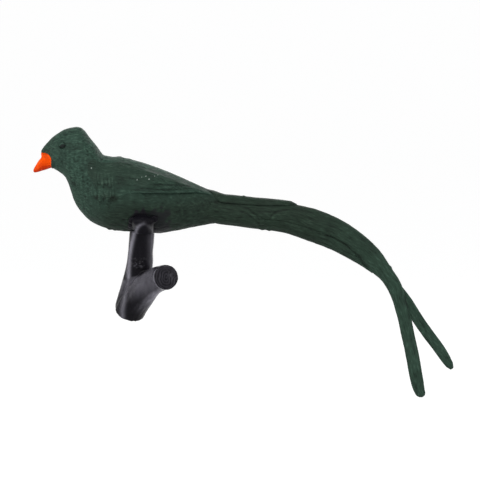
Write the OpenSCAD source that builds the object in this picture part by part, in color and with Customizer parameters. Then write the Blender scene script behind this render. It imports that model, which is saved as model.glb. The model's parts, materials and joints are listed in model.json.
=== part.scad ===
// Long-tailed bird figure perched on a forked branch, as separate moulded pieces.
// Millimetres, +Z up. The bird looks along -X and its left side faces -Y.
// The origin is the middle of the sawn lower end of the branch.

/* [Body] */
// Face to the perch socket
body_front = 30; // [26:0.5:34]
// Perch socket to the rump joint
body_rear = 22; // [19:0.5:26]
// Belly to back at the shoulder
body_high = 22.2; // [19.2:0.2:25.2]
// Width across the shoulders
body_wide = 18.6; // [16:0.2:22]
// Crest peak above the back
crest_rise = 9; // [7:0.2:11]
// Width of the head at the cheeks
head_wide = 11.2; // [9.6:0.2:13]

/* [Bill and eyes] */
// Bill from its seat in the cheek to the tip
bill_len = 5.3; // [4.4:0.1:6.2]
// Height of the bill at the face
bill_high = 4.3; // [3.7:0.1:4.8]
// Width of the bill at the face
bill_wide = 5.4; // [4.6:0.1:6.2]
// Depth of the bill's root behind its seat
bill_deep = 2.4; // [1.6:0.1:3.2]
// Eye radius
eye_r = 0.9; // [0.7:0.05:1.2]
// Eye height above the cheek
eye_proud = 0.35; // [0.2:0.05:0.6]
// Eye stem depth
eye_deep = 2; // [1.2:0.1:2.6]

/* [Wings] */
// Wing thickness at its lower edge
wing_thick = 0.9; // [0.6:0.05:1.3]
// Wing thickness at its upper edge
wing_edge = 0.35; // [0.25:0.05:0.5]
// Step down from each flight feather to the next
feather_step = 0.22; // [0.1:0.02:0.3]
// Flight feathers across the wing
feather_count = 6; // [4:1:8]

/* [Tail] */
// Rump joint to the fork, along X
tail_reach = 53.6; // [46:0.2:60]
// Rump joint to the fork, downwards
tail_drop = 23.1; // [19:0.1:27]
// Height of the plumes at the widest place
plume_high = 8.8; // [7.4:0.1:9.6]
// Thickness of one plume at the rump
plume_thick = 3.7; // [3.3:0.1:4.2]
// Width of the left plume below the fork
left_tine = 4; // [3.2:0.1:4.8]
// Width of the right plume below the fork
right_tine = 3.3; // [2.7:0.1:4]
// Left plume tip beyond the fork, along X
left_tip_reach = 8.4; // [6.4:0.2:10.4]
// Left plume tip below the fork
left_tip_drop = 33.7; // [28:0.1:38]
// Right plume tip beyond the fork, along X
right_tip_reach = 17.8; // [14:0.2:21]
// Right plume tip below the fork
right_tip_drop = 25.2; // [21:0.2:30]
// Thickness of the covert feather along the top
covert_thick = 0.9; // [0.6:0.05:1.2]
// Thickness of the covert feathers at the sides
side_covert_thick = 0.6; // [0.4:0.05:0.9]

/* [Perch] */
// Height of the belly above the sawn end
perch_rise = 24.1; // [20:0.1:28]
// Perch plug ahead of the sawn end, along X
perch_reach = 4.6; // [3.6:0.1:5.6]
// Plug radius in the belly
plug_r = 3.2; // [2.6:0.05:3.6]
// Plug depth in the belly
plug_deep = 4.4; // [3:0.1:6]
// Radius of the upright stem
stem_r = 3.7; // [3.3:0.05:4.2]
// Offset of the stem behind the middle plane
stem_back = 1; // [0.4:0.1:1.6]
// Slope of the sawn end along the bird, degrees
trunk_lean = 18; // [10:1:24]
// Slope of the sawn end across the bird, degrees
trunk_tilt = 29; // [20:1:36]
// Radius of the side limb where it leaves the trunk
trunk_r = 4.5; // [3.9:0.05:5]
// Radius of the side limb at its sawn end
limb_r = 3.7; // [3.2:0.05:4.2]
// Sawn limb end from the origin, along X
limb_reach = 12.3; // [10.4:0.1:13.8]
// Sawn limb end from the origin, towards -Y
limb_out = 10.6; // [9:0.1:12]
// Sawn limb end above the origin
limb_rise = 11.5; // [10:0.1:12.6]
// Width of each growth ring groove
ring_wide = 0.28; // [0.2:0.02:0.4]

/* [Feet] */
// Shank radius
shank_r = 1.9; // [1.5:0.05:2.2]
// Toe radius
toe_r = 0.95; // [0.7:0.05:1.2]

/* [Fits] */
// Gap between faces that lie on each other
lay_gap = 0.1; // [0.05:0.01:0.2]
// Radial clearance of every peg in its bore
peg_fit = 0.05; // [0.03:0.01:0.12]
// Radius of the small pegs
peg_r = 0.9; // [0.7:0.05:1]
// Depth of the small pegs
peg_deep = 3.2; // [2.4:0.1:4]

/* [Hidden] */
$fn = 48;
eps = 0.01;
green = [0.18, 0.25, 0.21];
deep_green = [0.15, 0.21, 0.18];
orange = [0.9, 0.3, 0.08];
black = [0.08, 0.08, 0.09];

// Body sections from the face to the rump. The place is -1 at the face, 0 at the perch socket and 1 at
// the rump. Then come the back as a share of body_high, the rise as a share of crest_rise, the belly
// line as a share of body_high, and the width as shares of body_wide and of head_wide.
body_rows = [
    [-1.00, 1.00, 0.22, 1.04, 0.00, 0.10],
    [-0.96, 1.00, 0.40, 0.95, 0.00, 0.26],
    [-0.92, 1.00, 0.54, 0.87, 0.00, 0.39],
    [-0.88, 1.00, 0.67, 0.846, 0.00, 0.62],
    [-0.80, 1.00, 0.85, 0.78, 0.00, 0.84],
    [-0.76, 1.00, 0.92, 0.73, 0.00, 0.92],
    [-0.72, 1.00, 0.96, 0.61, 0.00, 0.98],
    [-0.68, 1.00, 0.99, 0.43, 0.01, 1.00],
    [-0.64, 1.00, 1.00, 0.32, 0.10, 0.90],
    [-0.60, 1.00, 0.98, 0.25, 0.24, 0.75],
    [-0.52, 1.00, 0.66, 0.14, 0.50, 0.45],
    [-0.44, 1.00, 0.33, 0.08, 0.74, 0.20],
    [-0.38, 1.00, 0.06, 0.05, 0.87, 0.08],
    [-0.24, 1.00, 0.00, 0.005, 0.99, 0.00],
    [0.00, 0.93, 0.00, -0.01, 1.00, 0.00],
    [0.33, 0.813, 0.00, -0.01, 0.89, 0.00],
    [0.66, 0.67, 0.00, 0.05, 0.67, 0.00],
    [1.00, 0.515, 0.00, 0.11, 0.43, 0.00]
];
body_sides = 28;
saddle_reach = 0.5;
row_steps = 2;

// Wing outline: place along the body, lower edge and upper edge in degrees above the widest line,
// and the share of wing_thick there.
wing_rows = [
    [-0.52, 9, 24, 0.4],
    [-0.46, 3, 42, 0.6],
    [-0.39, -6, 53, 0.85],
    [-0.3, -10, 60, 1.0],
    [-0.215, -5, 64, 1.0],
    [-0.1, 7, 67, 1.0],
    [0.1, 11.5, 69, 1.0],
    [0.4, 20, 70, 0.95],
    [0.66, 32, 70, 0.85],
    [0.86, 47, 67, 0.7],
    [0.96, 54, 61, 0.5]
];
wing_stations = 26;
wing_peg_at = [0.08, 38];
// Share of the feather step that is lost towards the upper edge, and share of a feather taken by its step.
step_fade = 0.8;
step_share = 0.06;

// Tail spine from the rump to the fork, as shares of tail_reach and tail_drop, and then each plume
// below the fork as shares of its own reach and drop.
tail_shares = [[0, 0], [0.194, 0.052], [0.418, 0.116], [0.642, 0.29], [0.818, 0.535], [0.928, 0.77], [1, 1]];
left_shares = [[0.3, 0.216], [0.49, 0.414], [0.68, 0.63], [0.85, 0.847], [1, 1]];
right_shares = [[0.205, 0.175], [0.41, 0.4], [0.6, 0.59], [0.8, 0.78], [1, 1]];

// Plume sections: place on the spine, height as shares of plume_high and of the width below the fork,
// and thickness as a share of plume_thick.
plume_rows = [
    [0, 0.9, 0, 1],
    [1, 0.94, 0, 0.89],
    [2, 1.01, 0, 0.81],
    [2.5, 1.1, 0, 0.77],
    [3, 1.07, 0, 0.73],
    [4, 0.89, 0, 0.62],
    [5, 0.6, 0, 0.54],
    [6, 0.08, 0.92, 0.49],
    [7, 0, 1, 0.46],
    [9, 0, 1, 0.39],
    [10, 0, 0.97, 0.32],
    [10.7, 0, 0.74, 0.22],
    [11, 0, 0.32, 0.12]
];
// Level of the crease above the under plume, as a share of the half height.
crease_rows = [[0, -0.2], [3, -0.2], [3.5, -0.28], [4.1, -0.62], [5, -0.95], [11, -0.96]];
under_end = 4.9;
plume_arc = 9;
plume_stations = 40;

// Covert feathers on the tail: place on the spine, middle direction and half spread in degrees.
// A place below 0 lies on the body, ahead of the rump joint that the coverts hide.
top_covert_rows = [
    [-0.4, 90, 8],
    [-0.12, 90, 22],
    [-0.05, 90, 44],
    [0.1, 90, 52],
    [1, 90, 46],
    [1.7, 90, 36],
    [1.95, 90, 24],
    [2.05, 90, 9]
];
side_covert_rows = [
    [-0.3, -10, 6],
    [-0.2, -11, 26],
    [-0.08, -12, 44],
    [0.1, -12, 46],
    [0.6, -10, 38],
    [1, -16, 30],
    [1.25, -24, 18],
    [1.36, -28, 4]
];
covert_stations = 18;
covert_arc = 5;
cover_blend = 0.3;
front_share = 0.15;
// Shares of the thickness that a covert loses at its tip and along its edges.
tip_loss = 0.3;
edge_loss = 0.65;

// Branch spines as shares of the perch sizes, with the share of the radius there.
stem_rows = [
    [-0.444, 2.2, -0.15, 0.94],
    [-0.209, 1.4, -0.043, 0.94],
    [0.174, 1, 0.166, 1],
    [0.51, 0.8, 0.365, 1.02],
    [0.804, 0.3, 0.564, 1.06],
    [0.88, 0.1, 0.747, 1],
    [0.977, 0, 0.953, 1],
    [1, 0, 1.136, 1]
];
limb_rows = [
    [-0.086, -0.17, -0.348, 1],
    [0.01, -0.04, -0.132, 1],
    [0.159, 0.13, 0.184, 1],
    [0.325, 0.28, 0.447, 0.94],
    [0.559, 0.43, 0.753, 0.5],
    [0.851, 0.6, 0.929, 0.05],
    [1, 1, 1, 0]
];
branch_sides = 20;
branch_steps = 3;
squareness = 3;

// Feet: places along the body and directions in degrees above the widest line.
shank_path = [[0.05, -50], [0.055, -37], [0.06, -25]];
toe_paths = [
    [[0.03, -46], [-0.05, -48], [-0.12, -48]],
    [[0.03, -41], [-0.06, -38], [-0.11, -36]],
    [[0.07, -42], [0.16, -34], [0.22, -27]]
];
foot_peg_at = [0.055, -36];
foot_sides = 10;
toe_steps = 8;
toe_end_loss = 0.8;

body_end = body_rows[len(body_rows) - 1][0];
belly_bore_r = plug_r + peg_fit;
peg_bore_r = peg_r + peg_fit;
half_gap = lay_gap / 2;
seat = [perch_reach, 0, perch_rise];

// Index of the table interval that holds x.
function row_at(rows, x) =
    let (hits = [for (i = [0 : len(rows) - 2]) if (x <= rows[i + 1][0]) i])
    len(hits) > 0 ? hits[0] : len(rows) - 2;

// Slope of a table column at one row, flat at a turning point so that the curve never overshoots.
function rise_of(rows, col, i) =
    let (n = len(rows) - 1)
    let (lo = max(i - 1, 0), hi = min(i + 1, n))
    let (before = (rows[i][col] - rows[lo][col]) / max(rows[i][0] - rows[lo][0], eps / 100))
    let (after = (rows[hi][col] - rows[i][col]) / max(rows[hi][0] - rows[i][0], eps / 100))
    i == 0 ? after : i == n ? before : before * after <= 0 ? 0 : 2 * before * after / (before + after);

// Smooth value of a table column at x.
function curve(rows, col, x) =
    let (i = row_at(rows, x), w = rows[i + 1][0] - rows[i][0], f = (x - rows[i][0]) / w)
    let (a = rows[i][col], b = rows[i + 1][col])
    let (ma = rise_of(rows, col, i) * w, mb = rise_of(rows, col, i + 1) * w)
    a + f * ma + f * f * (3 * (b - a) - 2 * ma - mb) + f * f * f * (2 * (a - b) + ma + mb);

// Point on the smooth line through points p, at place t.
function spline(p, t) =
    let (n = len(p) - 1, i = max(min(floor(t), n - 1), 0), f = t - i)
    let (a = p[max(i - 1, 0)], b = p[i], c = p[i + 1], d = p[min(i + 2, n)])
    (2 * b + (c - a) * f + (2 * a - 5 * b + 4 * c - d) * f * f + (3 * b - a - 3 * c + d) * f * f * f) / 2;

function unit(v) = v / norm(v);

// One body section as [x, middle height, half height, half width].
function section(u) =
    let (top = curve(body_rows, 1, u) * body_high + curve(body_rows, 2, u) * crest_rise)
    let (low = curve(body_rows, 3, u) * body_high)
    let (half = (curve(body_rows, 4, u) * body_wide + curve(body_rows, 5, u) * head_wide) / 2)
    [u * (u < 0 ? body_front : body_rear), (top + low) / 2, (top - low) / 2, half];

// Outward direction of an ellipse at angle a.
function outward(half, high, a) = unit([cos(a) / half, sin(a) / high]);

// Point on the left flank at angle a above the widest line, moved outwards.
function flank(s, a, out) =
    let (n = outward(s[3], s[2], a))
    [s[0], -s[3] * cos(a) - out * n[0], s[1] + s[2] * sin(a) + out * n[1]];

body_places = [
    for (i = [0 : len(body_rows) - 2], k = [0 : row_steps - 1])
        body_rows[i][0] + (body_rows[i + 1][0] - body_rows[i][0]) * k / row_steps,
    body_end
];
saddle_places = [for (u = body_places) if (abs(u) < saddle_reach) u];
rump = section(body_end);
tail_start = [rump[0] + lay_gap, rump[1] - covert_thick * 2 / 3];

function to_fork(q) = [tail_start[0] + q[0] * tail_reach, tail_start[1] - q[1] * tail_drop];
function past_fork(q, reach, drop) = to_fork([1, 1]) + [q[0] * reach, -q[1] * drop];
shared_line = [for (q = tail_shares) to_fork(q)];
left_line = concat(shared_line, [for (q = left_shares) past_fork(q, left_tip_reach, left_tip_drop)]);
right_line = concat(shared_line, [for (q = right_shares) past_fork(q, right_tip_reach, right_tip_drop)]);

function tail_high(t, tine = left_tine) =
    (curve(plume_rows, 1, t) * plume_high + curve(plume_rows, 2, t) * tine) / 2;
function tail_half(t) = curve(plume_rows, 3, t) * plume_thick;
function heading(line, t) = t <= 0.03 ? [1, 0] : unit(spline(line, t + eps) - spline(line, t - eps));

// Tail point at place t: y across, h along the section's own upward direction.
function on_tail(line, t, y, h) =
    let (c = spline(line, t), d = heading(line, t))
    [c[0] - h * d[1], y, c[1] + h * d[0]];

// Point on the left side of the tail at angle b, moved outwards.
function tail_side(line, t, b, out, tine = left_tine) =
    let (half = tail_half(t), high = tail_high(t, tine), n = outward(half, high, b))
    on_tail(line, t, -half_gap - (half - half_gap) * cos(b) - out * n[0], high * sin(b) + out * n[1]);

// Closed solid through rings of points, each ring turning the same way about the line.
module loft(rings) {
    m = len(rings[0]);
    n = len(rings);
    points = [for (r = rings, p = r) p];
    near = [for (i = [0 : n - 2], j = [0 : m - 1]) [i * m + j, (i + 1) * m + j, i * m + (j + 1) % m]];
    far = [
        for (i = [0 : n - 2], j = [0 : m - 1])
            [i * m + (j + 1) % m, (i + 1) * m + j, (i + 1) * m + (j + 1) % m]
    ];
    first = [[for (j = [0 : m - 1]) j]];
    last = [[for (j = [m - 1 : -1 : 0]) (n - 1) * m + j]];
    polyhedron(points = points, faces = concat(near, far, first, last));
}

// Places children with their Z axis leaving the left flank at [place, angle].
module on_flank(at) {
    s = section(at[0]);
    n = outward(s[3], s[2], at[1]);
    translate(flank(s, at[1], 0))
        rotate([atan2(n[0], n[1]), 0, 0])
            children();
}

module on_seat() {
    translate(seat)
        children();
}

module mirrored() {
    mirror([0, 1, 0])
        children();
}

bill_place = -0.903;
bill_level = 0.24;

// Places children with Z along the bill, X up and the origin at the seat in the cheek.
module on_bill() {
    s = section(bill_place);
    translate([s[0], 0, s[1] - s[2] + 2 * s[2] * bill_level])
        rotate([0, -90, 0])
            children();
}

// Bill sections from the seat to the tip: share of bill_len, level of the middle, rise and depth as shares
// of half of bill_high, and share of bill_wide.
bill_rows = [
    [0, 0, 1, 1, 1],
    [0.28, 0, 1, 1.24, 1],
    [0.48, 0, 0.97, 1.38, 0.96],
    [0.53, 0, 0.62, 1.41, 0.86],
    [0.68, -0.66, 0.72, 0.88, 0.66],
    [0.82, -1, 0.5, 0.62, 0.47],
    [0.93, -1.25, 0.32, 0.4, 0.3],
    [0.98, -1.36, 0.18, 0.2, 0.16],
    [1, -1.38, 0.06, 0.06, 0.06]
];
bill_sides = 24;
bill_squareness = 3;

// Unit ring of a rounded square when power is above 2.
function squarish(a, power) = pow(pow(abs(cos(a)), power) + pow(abs(sin(a)), power), -1 / power);

function bill_ring(q, along, fit) = [
    for (j = [0 : bill_sides - 1])
        let (a = 360 * j / bill_sides, k = squarish(a, bill_squareness))
        [
            bill_high / 2 * q[1] + (bill_high / 2 * (cos(a) > 0 ? q[2] : q[3]) + fit) * k * cos(a),
            (bill_wide / 2 * q[4] + fit) * k * sin(a),
            along
        ]
];

eye_at = [-0.769, 20.5];

module eye_bead() {
    dome_r = (eye_r * eye_r + eye_proud * eye_proud) / (2 * eye_proud);
    intersection() {
        translate([0, 0, eye_proud - dome_r])
            sphere(dome_r);
        translate([0, 0, -eye_deep])
            cylinder(r = eye_r, h = eye_deep + 2 * eye_proud);
    }
}

// Places children with Z along X at the tail joint, y across and h up from the tail's middle.
module on_rump(y, h) {
    translate([rump[0], y, tail_start[1] + h])
        rotate([0, 90, 0])
            children();
}

plume_peg = [-0.46 * tail_half(0), 0.3 * tail_high(0)];
under_peg = -0.6 * tail_high(0);

// The body's outer form through the given places, grown outwards.
module body_form(places, out) {
    loft([
        for (u = places)
            let (s = section(u))
            [
                for (j = [0 : body_sides - 1])
                    let (a = 360 * j / body_sides)
                    [s[0], (s[3] + out) * cos(a), s[1] + (s[2] + out) * sin(a)]
            ]
    ]);
}

module body() {
    color(green)
        on_seat()
            difference() {
                body_form(body_places, 0);
                translate([0, 0, -body_high / 2])
                    cylinder(r = belly_bore_r, h = body_high / 2 + plug_deep + lay_gap);
                on_bill()
                    loft([
                        bill_ring(bill_rows[0], -bill_deep - lay_gap, peg_fit),
                        bill_ring(bill_rows[0], 2 * bill_len, peg_fit)
                    ]);
                for (side = [0, 1])
                    mirror([0, side, 0]) {
                        on_flank(eye_at)
                            translate([0, 0, -eye_deep - lay_gap])
                                cylinder(r = eye_r + peg_fit, h = 2 * eye_deep);
                        on_flank(wing_peg_at)
                            translate([0, 0, -peg_deep - lay_gap])
                                cylinder(r = peg_bore_r, h = 2 * peg_deep);
                        on_flank(foot_peg_at)
                            translate([0, 0, -peg_deep - lay_gap])
                                cylinder(r = peg_bore_r, h = 2 * peg_deep);
                        on_rump(plume_peg[0], plume_peg[1])
                            translate([0, 0, -peg_deep - lay_gap])
                                cylinder(r = peg_bore_r, h = 2 * peg_deep);
                    }
                on_rump(0, under_peg)
                    translate([0, 0, -peg_deep - lay_gap])
                        cylinder(r = peg_bore_r, h = 2 * peg_deep);
            }
}

module bill() {
    color(orange)
        on_seat()
            on_bill()
                loft([
                    bill_ring(bill_rows[0], -bill_deep, 0),
                    for (q = bill_rows)
                        bill_ring(q, bill_len * q[0], 0)
                ]);
}

module left_eye() {
    color(black)
        on_seat()
            on_flank(eye_at)
                eye_bead();
}

module right_eye() {
    color(black)
        on_seat()
            mirrored()
                on_flank(eye_at)
                    eye_bead();
}

// Height of the wing's outer face above its inner one at share v from the lower to the upper edge.
function wing_rise(u, v) =
    let (full = curve(wing_rows, 3, u) * wing_thick)
    max(wing_edge, full + (wing_edge - full) * v);

// One wing section: flight feathers overlap like tiles from the upper edge down to the lower one.
function wing_ring(u) =
    let (s = section(u), lo = curve(wing_rows, 1, u), hi = curve(wing_rows, 2, u))
    let (w = (hi - lo) / feather_count, fade = curve(wing_rows, 3, u))
    concat(
        [
            for (k = [feather_count - 1 : -1 : 0], e = [1 - step_share, step_share])
                let (v = (k + e) / feather_count)
                let (half_step = feather_step * fade * (1 - step_fade * v) / 2)
                let (step = e > 0.5 ? -half_step : half_step)
                flank(s, lo + v * (hi - lo), lay_gap + max(wing_rise(u, v) + step, wing_edge / 2))
        ],
        [
            for (k = [0 : feather_count - 1], e = [step_share, 1 - step_share])
                flank(s, lo + (k + e) * w, lay_gap)
        ]
    );

module wing_solid() {
    first = wing_rows[0][0];
    span = wing_rows[len(wing_rows) - 1][0] - first;
    loft([for (i = [0 : wing_stations]) wing_ring(first + span * i / wing_stations)]);
    on_flank(wing_peg_at)
        translate([0, 0, -peg_deep])
            cylinder(r = peg_r, h = peg_deep + lay_gap + wing_edge / 2);
}

module left_wing() {
    color(deep_green)
        on_seat()
            wing_solid();
}

module right_wing() {
    color(deep_green)
        on_seat()
            mirrored()
                wing_solid();
}

// One step of the tail spine as a share of body_rear, for places ahead of the rump joint.
rump_share = tail_shares[1][0] * tail_reach / body_rear;

// Point over the rump joint: on the body ahead of it, and settling onto the tail behind it.
function cover(t, b, out) =
    let (w = max(min(t / cover_blend, 1), 0), c = spline(shared_line, max(t, 0)) - tail_start)
    let (on_body = flank(section(body_end + min(t, 0) * rump_share), b, out) + [c[0], 0, c[1]])
    on_body + (tail_side(shared_line, max(t, 0), b, out) - on_body) * w * w * (3 - 2 * w);

// Crescent feather lying on the tail, from its rows of place, middle direction and half spread.
module covert_solid(rows, thick) {
    first = rows[0][0];
    span = rows[len(rows) - 1][0] - first;
    loft([
        for (i = [0 : covert_stations])
            let (share = i / covert_stations, t = first + span * share)
            let (grow = min((t - first) / (cover_blend - first), 1))
            let (thin = (front_share + (1 - front_share) * grow * grow) * (1 - tip_loss * share * share))
            let (mid = curve(rows, 1, t), wide = curve(rows, 2, t))
            concat(
                [
                    for (k = [covert_arc : -1 : -covert_arc])
                        let (f = k / covert_arc)
                        cover(t, mid + wide * f, lay_gap + thick * thin * (1 - edge_loss * f * f))
                ],
                [
                    for (k = [-covert_arc : covert_arc])
                        cover(t, mid + wide * k / covert_arc, lay_gap)
                ]
            )
    ]);
}

module top_covert() {
    color(green)
        on_seat()
            covert_solid(top_covert_rows, covert_thick);
}

module left_covert() {
    color(green)
        on_seat()
            covert_solid(side_covert_rows, side_covert_thick);
}

module right_covert() {
    color(green)
        on_seat()
            mirrored()
                covert_solid(side_covert_rows, side_covert_thick);
}

// One plume on the left of the middle plane, flat on its inner side and on the under plume.
module plume_solid(line, tine) {
    last = len(line) - 1;
    loft([
        for (i = [0 : plume_stations])
            let (t = last * i / plume_stations, low = curve(crease_rows, 1, t), start = asin(low))
            concat(
                [
                    for (k = [0 : plume_arc])
                        tail_side(line, t, 90 + (start - 90) * k / plume_arc, 0, tine)
                ],
                [on_tail(line, t, -half_gap, low * tail_high(t, tine))]
            )
    ]);
    on_rump(plume_peg[0], plume_peg[1])
        translate([0, 0, -peg_deep])
            cylinder(r = peg_r, h = 2 * peg_deep);
}

module left_plume() {
    color(green)
        on_seat()
            plume_solid(left_line, left_tine);
}

module right_plume() {
    color(green)
        on_seat()
            mirrored()
                plume_solid(right_line, right_tine);
}

under_stations = 24;

module under_plume() {
    color(deep_green)
        on_seat() {
            loft([
                for (i = [0 : under_stations])
                    let (t = under_end * i / under_stations, high = tail_high(t), half = tail_half(t))
                    let (start = asin(max(curve(crease_rows, 1, t) - lay_gap / high, -0.98)))
                    [
                        for (k = [0 : 2 * plume_arc])
                            let (b = 180 - start + (180 + 2 * start) * k / (2 * plume_arc))
                            on_tail(shared_line, t, half * cos(b), high * sin(b))
                    ]
            ]);
            on_rump(0, under_peg)
                translate([0, 0, -peg_deep])
                    cylinder(r = peg_r, h = 2 * peg_deep);
        }
}

// Ring of a branch about line p at place t: squarer when power is above 2.
function branch_ring(p, t, r, power) =
    let (c = spline(p, t), d = unit(spline(p, t + eps) - spline(p, t - eps)))
    let (e = unit(cross(d, [1, 0, 0])), f = cross(d, e))
    [
        for (j = [0 : branch_sides - 1])
            let (a = 360 * (j + 0.5) / branch_sides)
            let (k = r * squarish(a, power))
            c + k * (cos(a) * e + sin(a) * f)
    ];

stem_line = [for (q = stem_rows) [q[0] * perch_reach, q[1] * stem_back, q[2] * perch_rise]];
limb_line = [for (q = limb_rows) [q[0] * limb_reach, -q[1] * limb_out, q[2] * limb_rise]];
limb_last = len(limb_line) - 1;
limb_axis = unit(spline(limb_line, limb_last) - spline(limb_line, limb_last - eps));
stem_last = len(stem_line) - 1;

function stem_radius(t) = stem_r * spline([for (q = stem_rows) q[3]], t);
function limb_radius(t) = limb_r + (trunk_r - limb_r) * spline([for (q = limb_rows) q[3]], t);

// Places children with Z along the sawn end of the side limb.
module on_limb() {
    translate(limb_line[limb_last])
        rotate([0, acos(limb_axis[2]), atan2(limb_axis[1], limb_axis[0])])
            children();
}

ring_shares = [0.3, 0.55, 0.8];
ring_deep = 0.25;
cut_size = 6 * trunk_r;

module perch_branch() {
    color(black)
        union() {
            difference() {
                union() {
                    loft([
                        for (i = [0 : stem_last * branch_steps])
                            let (t = i / branch_steps)
                            branch_ring(stem_line, t, stem_radius(t), squareness)
                    ]);
                    loft([
                        for (i = [0 : limb_last * branch_steps])
                            let (t = i / branch_steps)
                            branch_ring(limb_line, t, limb_radius(t), 2)
                    ]);
                }
                on_seat()
                    body_form(saddle_places, lay_gap);
                rotate([trunk_tilt, trunk_lean, 0])
                    translate([-cut_size / 2, -cut_size / 2, -cut_size])
                        cube(cut_size);
                on_limb()
                    for (share = ring_shares)
                        translate([0, 0, -ring_deep])
                            difference() {
                                cylinder(r = share * limb_r + ring_wide, h = 2 * ring_deep);
                                translate([0, 0, -ring_deep])
                                    cylinder(r = share * limb_r, h = 4 * ring_deep);
                            }
            }
            translate([perch_reach, 0, perch_rise - plug_r])
                cylinder(r = plug_r, h = plug_r + plug_deep);
        }
}

// Round toe or shank lying on the flank along a path of [place, angle].
module toe_solid(path, r) {
    last = len(path) - 1;
    line = [
        for (i = [0 : toe_steps])
            let (q = spline(path, last * i / toe_steps))
            flank(section(q[0]), q[1], r + lay_gap)
    ];
    loft([
        for (i = [0 : toe_steps])
            let (d = unit(line[min(i + 1, toe_steps)] - line[max(i - 1, 0)]))
            let (e = unit(cross(d, [0, 1, 0.3])), f = cross(d, e))
            let (swell = r * sqrt(1 - pow(abs(2 * i / toe_steps - 1), 4) * toe_end_loss))
            [
                for (j = [0 : foot_sides - 1])
                    let (a = 360 * j / foot_sides)
                    line[i] + swell * (cos(a) * e + sin(a) * f)
            ]
    ]);
}

module foot_solid() {
    toe_solid(shank_path, shank_r);
    for (path = toe_paths)
        toe_solid(path, toe_r);
    on_flank(foot_peg_at)
        translate([0, 0, -peg_deep])
            cylinder(r = peg_r, h = peg_deep + lay_gap + shank_r);
}

module left_foot() {
    color(black)
        on_seat()
            foot_solid();
}

module right_foot() {
    color(black)
        on_seat()
            mirrored()
                foot_solid();
}

body();
bill();
left_eye();
right_eye();
left_wing();
right_wing();
top_covert();
left_covert();
right_covert();
left_plume();
right_plume();
under_plume();
perch_branch();
left_foot();
right_foot();
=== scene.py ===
# %% [markdown]
# A moulded, painted bird with a long forked tail sits on a short forked branch stub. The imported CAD
# pieces are the fixed frame: every piece made here is a finer copy of one of them, so it is already in
# its place, and only the surface work, the paint and the light are new.

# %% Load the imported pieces
import json

import bpy
import numpy as np
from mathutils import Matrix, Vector
from mathutils.bvhtree import BVHTree

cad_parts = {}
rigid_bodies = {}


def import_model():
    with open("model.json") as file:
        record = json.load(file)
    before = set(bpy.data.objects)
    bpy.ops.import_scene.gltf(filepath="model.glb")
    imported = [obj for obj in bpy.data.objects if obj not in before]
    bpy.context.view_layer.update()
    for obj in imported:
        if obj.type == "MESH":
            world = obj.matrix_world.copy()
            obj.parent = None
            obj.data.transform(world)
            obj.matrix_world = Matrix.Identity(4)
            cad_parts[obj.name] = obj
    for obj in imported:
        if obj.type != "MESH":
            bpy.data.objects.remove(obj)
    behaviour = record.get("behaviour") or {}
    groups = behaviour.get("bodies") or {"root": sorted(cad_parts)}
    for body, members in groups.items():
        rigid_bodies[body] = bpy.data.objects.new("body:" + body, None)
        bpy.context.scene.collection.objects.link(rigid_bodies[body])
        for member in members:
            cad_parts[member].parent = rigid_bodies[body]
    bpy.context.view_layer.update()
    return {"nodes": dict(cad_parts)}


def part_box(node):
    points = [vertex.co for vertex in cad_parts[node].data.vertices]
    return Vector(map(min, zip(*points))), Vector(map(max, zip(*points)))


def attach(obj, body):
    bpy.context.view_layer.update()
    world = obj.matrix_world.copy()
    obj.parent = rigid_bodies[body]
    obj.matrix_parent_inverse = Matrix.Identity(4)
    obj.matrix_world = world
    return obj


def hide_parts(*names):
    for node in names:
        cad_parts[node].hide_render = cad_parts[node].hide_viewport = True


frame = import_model()
MM = 0.001


print("CAD pieces:", sorted(frame["nodes"]))

# %% [markdown]
# The photograph looks at the bird's left side from a little above. A long lens far away keeps the outline
# nearly parallel, so the camera stands 450 mm off with a 112 mm lens and sees 144 mm of width at the bird.

# %% Camera
LOOK_AT = Vector((33.9, 0, 21.4)) * MM
CAMERA_FAR = 450 * MM
CAMERA_LIFT = np.radians(6)
FRAME_WIDE = 144 * MM
SENSOR = 36
NEAREST_SEEN = 10 * MM


def turned_to(place, target):
    """The turn that makes a camera or lamp at place look at target."""
    return (target - place).to_track_quat("-Z", "Y").to_euler()


camera_place = LOOK_AT + CAMERA_FAR * Vector((0, -np.cos(CAMERA_LIFT), np.sin(CAMERA_LIFT)))
bpy.ops.object.camera_add(location=camera_place, rotation=turned_to(camera_place, LOOK_AT))
camera = bpy.context.active_object
camera.name = "photo_camera"
camera.data.sensor_width = SENSOR
camera.data.lens = SENSOR * CAMERA_FAR / FRAME_WIDE
camera.data.clip_start = NEAREST_SEEN
bpy.context.scene.camera = camera
print("Lens", round(camera.data.lens, 1), "mm")

# %% [markdown]
# The stage is one pale sweep: a floor whose far edge is pulled up into a wall, with the corner rounded
# off. A box of separate walls would show its corners behind the bird, and a sweep shows none.

# %% Floor and backdrop in one sweep
FLOOR_LEVEL = -75 * MM
SWEEP = 3.0
SWEEP_ROUND, SWEEP_STEPS = 0.8, 12


def select_edges(piece, wanted):
    """Opens the active piece in edit mode with only those edges selected whose two ends are wanted."""
    bpy.ops.object.mode_set(mode="EDIT")
    bpy.ops.mesh.select_mode(type="EDGE")
    bpy.ops.mesh.select_all(action="DESELECT")
    bpy.ops.object.mode_set(mode="OBJECT")
    for edge in piece.data.edges:
        edge.select = all(wanted(piece.data.vertices[end].co) for end in edge.vertices)
    bpy.ops.object.mode_set(mode="EDIT")


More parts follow.
